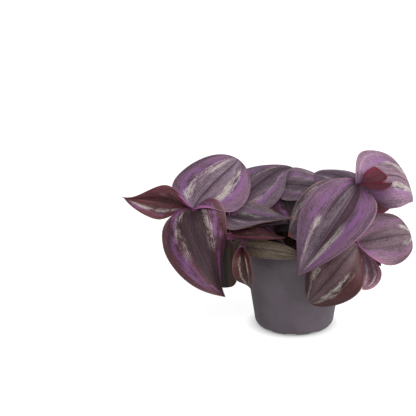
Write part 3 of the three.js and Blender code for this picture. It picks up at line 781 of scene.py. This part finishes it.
def stem_curve(nodes, shares):
    """Points and directions along a smooth curve through the nodes, at shares of the way by node.

    Between two nodes the curve is a cubic. Its slope at each end comes from the neighbouring nodes, weighted
    by the square roots of the distances between them, and past each end node a mirrored one stands in.
    """
    nodes = np.array(nodes, float)
    nodes = np.vstack([2 * nodes[0] - nodes[1], nodes, 2 * nodes[-1] - nodes[-2]])
    place = shares * (len(nodes) - 3)
    i = np.minimum(place.astype(int), len(nodes) - 4)
    t = (place - i)[:, None]
    p0, p1, p2, p3 = (nodes[i + k] for k in range(4))
    spans = (p1 - p0, p2 - p1, p3 - p2)
    d0, d1, d2 = (np.sqrt(np.linalg.norm(span, axis=1, keepdims=True)) for span in spans)
    m1 = ((p1 - p0) / d0 - (p2 - p0) / (d0 + d1) + (p2 - p1) / d1) * d1
    m2 = ((p2 - p1) / d1 - (p3 - p1) / (d1 + d2) + (p3 - p2) / d2) * d1
    points = p1 + m1 * t + (3 * (p2 - p1) - 2 * m1 - m2) * t**2 + (2 * (p1 - p2) + m1 + m2) * t**3
    return points, unit(np.gradient(points, axis=0))


def stem_piece(name, stem, material):
    """A round stem, a tube along its curve, with a papery sheath below each node.

    The radius narrows evenly to the end. Over a sheath's length it grows evenly to a thin lip at the node,
    where a bell adds a small knuckle. The sheath blushes as the power 1.5 of its share of that growth.
    """
    rough, _ = stem_curve(stem["nodes"], np.linspace(0, 1, 60))
    length = np.linalg.norm(np.diff(rough, axis=0), axis=1).sum()
    shares = np.linspace(0, 1, int(length / STEM_STEP))
    middle, along = stem_curve(stem["nodes"], shares)
    node_shares = np.arange(2, len(stem["nodes"])) / (len(stem["nodes"]) - 1)
    gap = node_shares[None, :] - shares[:, None]
    below = np.where(gap > 0, gap * length, np.inf).min(axis=1)
    sleeve = np.clip(1 - below / SHEATH_LENGTH, 0, 1)
    knuckle = np.exp(-((np.abs(gap).min(axis=1) * length / KNUCKLE_LENGTH) ** 2))
    radius = STEM_RADIUS + (STEM_TIP_RADIUS - STEM_RADIUS) * shares
    radius = radius + SHEATH_FLARE * sleeve + KNUCKLE_SWELL * knuckle
    ring = circle(STEM_SIDES)
    rings, across = [], np.array([0.0, 1.0, 0.0])
    for centre, way, r in zip(middle, along, radius):
        across = unit(across - way * (across @ way))
        third = np.cross(way, across)
        rings.append(centre + r * ring @ [across, third])
    points = to_metres(with_ends(np.array(rings)))
    faces = skin_faces(len(shares), STEM_SIDES)
    blush = with_ends(np.repeat(sleeve[:, None, None] ** 1.5, STEM_SIDES, axis=1))[:, 0]
    make_piece("stalk_" + name, points, faces, material, ["stem_" + name], {"blush": blush})


# ---- Pot and peat ----


def wall_radius(z):
    """Outer radius of the pot's wall at a height: below the rim band it narrows evenly, by the taper."""
    return WALL_TOP_RADIUS - POT_TAPER * (BAND_BOTTOM - z)


def corner(start, middle, end):
    """A rounded corner: the parabola that leaves start towards middle and comes to end from there."""
    start, middle, end = np.array(start), np.array(middle), np.array(end)
    t = np.linspace(0, 1, CORNER_STATIONS)[:, None]
    return ((1 - t) ** 2 * start + 2 * t * (1 - t) * middle + t**2 * end).tolist()


def pot_profile():
    """Radius and height round the pot's section, from the middle of its underside to that of its floor.

    The heel is an arc that ends where it meets the wall's slope; the rim's corners are rounded.
    """
    turns = np.linspace(-math.pi / 2, -math.atan(POT_TAPER), HEEL_STATIONS)
    heel = np.stack([HEEL_CENTRE_RADIUS + HEEL_RADIUS * np.cos(turns), HEEL_RADIUS * (1 + np.sin(turns))], 1)
    wall = np.linspace(HEEL_RADIUS + 4, BAND_BOTTOM - 0.4, WALL_STATIONS)  # clear of both ends' corners
    edge = POT_HEIGHT - RIM_EDGE
    step = BAND_BOTTOM + RIM_BAND_STEP
    points = [
        [0, FLOOR_UNDERSIDE],
        [HEEL_CENTRE_RADIUS - FOOT_RING_WIDTH - FOOT_RING_SLOPE, FLOOR_UNDERSIDE],
        [HEEL_CENTRE_RADIUS - FOOT_RING_WIDTH, 0],
        *heel.tolist(),
        *np.stack([wall_radius(wall), wall], axis=1).tolist(),
        *corner([WALL_TOP_RADIUS, BAND_BOTTOM], [RIM_RADIUS, BAND_BOTTOM + 0.1], [RIM_RADIUS, step]),
        *corner([RIM_RADIUS, edge], [RIM_RADIUS, POT_HEIGHT], [RIM_RADIUS - RIM_EDGE, POT_HEIGHT]),
        *corner([BORE + RIM_EDGE, POT_HEIGHT], [BORE, POT_HEIGHT], [BORE, edge]),
        [BORE, BAND_BOTTOM],
        [wall_radius(HEEL_RADIUS) - POT_WALL, HEEL_RADIUS],
        [wall_radius(FLOOR_TOP) - 1.4 * POT_WALL, FLOOR_TOP],
        [0, FLOOR_TOP],
    ]
    return np.array(points)


def drain_drill(turn):
    """A cylinder where a drain hole goes through the floor, turn radians round from the pot's front."""
    middle = DRAIN_RING_RADIUS * np.array([math.sin(turn), -math.cos(turn)])
    ring = middle + DRAIN_HOLE_RADIUS * circle(DRAIN_HOLE_SIDES)
    ends = (-5, 8)  # heights well below and above the floor
    rings = np.stack([np.hstack([ring, np.full((DRAIN_HOLE_SIDES, 1), z)]) for z in ends])
    return with_ends(rings), skin_faces(2, DRAIN_HOLE_SIDES)


def pot_piece(material):
    """The pot: its profile turned about its axis, and nine drain holes cut through its floor.

    The columns of the surface stand closer to each other at the notches. There, every point of the profile
    that is lower than the notch's top is lifted to it, which cuts the notch through the foot ring.
    """
    profile = pot_profile()
    half = math.degrees(math.asin(NOTCH_WIDTH / 2 / HEEL_CENTRE_RADIUS))
    step = 360 / DRAIN_COUNT
    middles = DRAIN_PHASE + step * np.arange(DRAIN_COUNT)
    columns = [np.linspace(-half, half, NOTCH_COLUMNS), np.linspace(half, step - half, SPAN_COLUMNS)]
    turns = np.radians(middles[:, None] + np.hstack(columns)).ravel()[:, None]
    notched = np.tile(np.arange(NOTCH_COLUMNS + SPAN_COLUMNS) < NOTCH_COLUMNS, DRAIN_COUNT)[:, None]
    radius, height = profile.T
    height = np.where(notched, np.maximum(height, NOTCH_HEIGHT), height)
    rings = np.stack([radius * np.sin(turns), -radius * np.cos(turns), height], axis=-1)
    here = np.arange(len(turns) * len(profile)).reshape(len(turns), len(profile))
    beside = np.roll(here, -1, axis=0)
    faces = np.stack([here[:, :-1], beside[:, :-1], beside[:, 1:], here[:, 1:]], axis=-1)
    points, faces = to_metres(rings.reshape(-1, 3)), faces.reshape(-1, 4).tolist()
    piece = make_piece("nursery_pot", points, faces, material, ["pot"])
    work = bmesh.new()
    work.from_mesh(piece.data)
    bmesh.ops.remove_doubles(work, verts=work.verts, dist=1e-6)
    bmesh.ops.recalc_face_normals(work, faces=work.faces)
    work.to_mesh(piece.data)
    work.free()

    points, faces = joined([drain_drill(turn) for turn in np.radians(middles)])
    drill_mesh = bpy.data.meshes.new("drill")
    drill_mesh.from_pydata(to_metres(points).tolist(), [], faces)
    drill = bpy.data.objects.new("drill", drill_mesh)
    bpy.context.scene.collection.objects.link(drill)
    cut = piece.modifiers.new("holes", "BOOLEAN")
    cut.operation = "DIFFERENCE"
    cut.solver = "EXACT"
    cut.object = drill
    bpy.context.view_layer.update()
    drilled = bpy.data.meshes.new_from_object(piece.evaluated_get(bpy.context.evaluated_depsgraph_get()))
    piece.modifiers.clear()
    piece.data = drilled
    drilled.polygons.foreach_set("use_smooth", [True] * len(drilled.polygons))
    drilled.set_sharp_from_angle(angle=math.radians(CREASE))
    bpy.data.objects.remove(drill)


def peat_height(x, y):
    """Height of the peat's top: a crown that falls as the radius squared, and lumps.

    The lumps are a sum of crossed waves, each the product of two sines whose ways and starts are drawn by
    chance, each shorter than the last and lower.
    """
    share = np.hypot(x, y) / BORE
    height = SOIL_LEVEL + SOIL_CROWN * (1 - share**2)
    waves = np.random.default_rng(3)
    for length in LUMP_LENGTHS:
        a, b, c, d = waves.uniform(0, 2 * np.pi, 4)
        ways = np.cos(a) * x + np.sin(a) * y, np.cos(b) * x + np.sin(b) * y
        k = 2 * np.pi / length
        height = height + LUMP_HEIGHT * length**0.8 * np.sin(k * ways[0] + c) * np.sin(k * ways[1] + d)
    return height


def peat_pieces(material):
    """The peat as one closed body that follows the pot's wall, and crumbs strewn on its top.

    The body is a stack of rings: two round its bottom edge, one at its shoulder, and ever smaller ones over
    its top. Each crumb is a coarse ball, stretched and dented by chance and sunk into the top.
    """
    ring = circle(SOIL_SIDES)

    def inner(z):
        return wall_radius(z) - POT_WALL - SOIL_GAP

    low = FLOOR_TOP + SOIL_GAP
    inwards, upwards = SOIL_BEVEL
    brim = inner(SOIL_SHOULDER)
    side = ((inner(low) - inwards, low), (inner(low + upwards), low + upwards), (brim, SOIL_SHOULDER))
    rings = [np.hstack([ring * radius, np.full((SOIL_SIDES, 1), z)]) for radius, z in side]
    for radius in np.linspace(brim, SOIL_LAST_RING, SOIL_RINGS):
        flat = ring * radius
        rings.append(np.hstack([flat, peat_height(flat[:, :1], flat[:, 1:])]))
    points = with_ends(np.array(rings))
    make_piece("peat_body", to_metres(points), skin_faces(len(rings), SOIL_SIDES), material, ["soil"])

    ball = bmesh.new()
    bmesh.ops.create_icosphere(ball, subdivisions=1, radius=1)
    shape = np.array([vertex.co[:] for vertex in ball.verts])
    shape_faces = [tuple(vertex.index for vertex in face.verts) for face in ball.faces]
    ball.free()
    crumbs = []
    for _ in range(CRUMBS):
        radius, turn = CRUMBS_REACH * math.sqrt(rng.random()), rng.uniform(0, 2 * np.pi)
        x, y = radius * math.cos(turn), radius * math.sin(turn)
        size = rng.uniform(0.25, 0.9) * rng.uniform(0.6, 1.3, 3)
        lump = shape * size * rng.uniform(0.8, 1.2, (len(shape), 1))
        crumbs.append((to_metres(lump + [x, y, float(peat_height(x, y)) + 0.2 * size[2]]), shape_faces))
    points, faces = joined(crumbs)
    make_piece("peat_crumbs", points, faces, material)


# ---- Studio ----


def camera():
    """The photograph's camera: level from side to side, tilted down by its elevation."""
    data = bpy.data.cameras.new("camera")
    data.lens = LENS
    data.sensor_width = SENSOR
    data.clip_start, data.clip_end = 0.1, 20
    eye = bpy.data.objects.new("camera", data)
    tilt = math.radians(ELEVATION)
    back = np.array([0, -math.cos(tilt), math.sin(tilt)]) * DISTANCE
    eye.location = to_metres(np.array(LOOKS_AT) + back)
    eye.rotation_euler = (math.pi / 2 - tilt, 0, 0)
    bpy.context.scene.collection.objects.link(eye)
    bpy.context.scene.camera = eye


def lamp(name, place, size, watts):
    """A soft square lamp at a place, turned towards the plant."""
    data = bpy.data.lights.new(name, "AREA")
    data.size = size
    data.energy = watts
    light = bpy.data.objects.new(name, data)
    light.location = place
    way = np.array(LAMPS_AIM) - place
    down = math.acos(-way[2] / np.linalg.norm(way))
    light.rotation_euler = (down, 0, math.atan2(way[1], way[0]) - math.pi / 2)
    bpy.context.scene.collection.objects.link(light)


def studio():
    """A white room: even light from all round, a big lamp high on the right and a weaker one in front."""
    world = bpy.data.worlds.new("studio")
    world.use_nodes = True
    bpy.context.scene.world = world
    nodes = Nodes(world.node_tree)
    background = nodes.tree.nodes["Background"]
    background.inputs["Color"].default_value = grey(1.0)
    seen = nodes.node("LightPath", output="Is Camera Ray")
    nodes.feed(background.inputs["Strength"], seen * (1 - ROOM_LIGHT) + ROOM_LIGHT)
    for name, settings in LAMPS.items():
        lamp(name, **settings)

    mesh = bpy.data.meshes.new("floor")
    corners = [(x * FLOOR_REACH, y * FLOOR_REACH, 0) for x, y in ((-1, -1), (1, -1), (1, 1), (-1, 1))]
    mesh.from_pydata(corners, [], [(0, 1, 2, 3)])
    mesh.materials.append(floor_material())
    floor = bpy.data.objects.new("floor", mesh)
    bpy.context.scene.collection.objects.link(floor)

    bpy.context.scene.view_settings.view_transform = "Standard"


camera()
studio()
pot_piece(pot_material())
peat_pieces(peat_material())
leaf_look, stem_look = leaf_material(), stem_material()
for node_name, stem_data in STEMS.items():
    short = node_name.removeprefix("stem_")
    leaves_piece(short, stem_data, leaf_look)
    stem_piece(short, stem_data, stem_look)
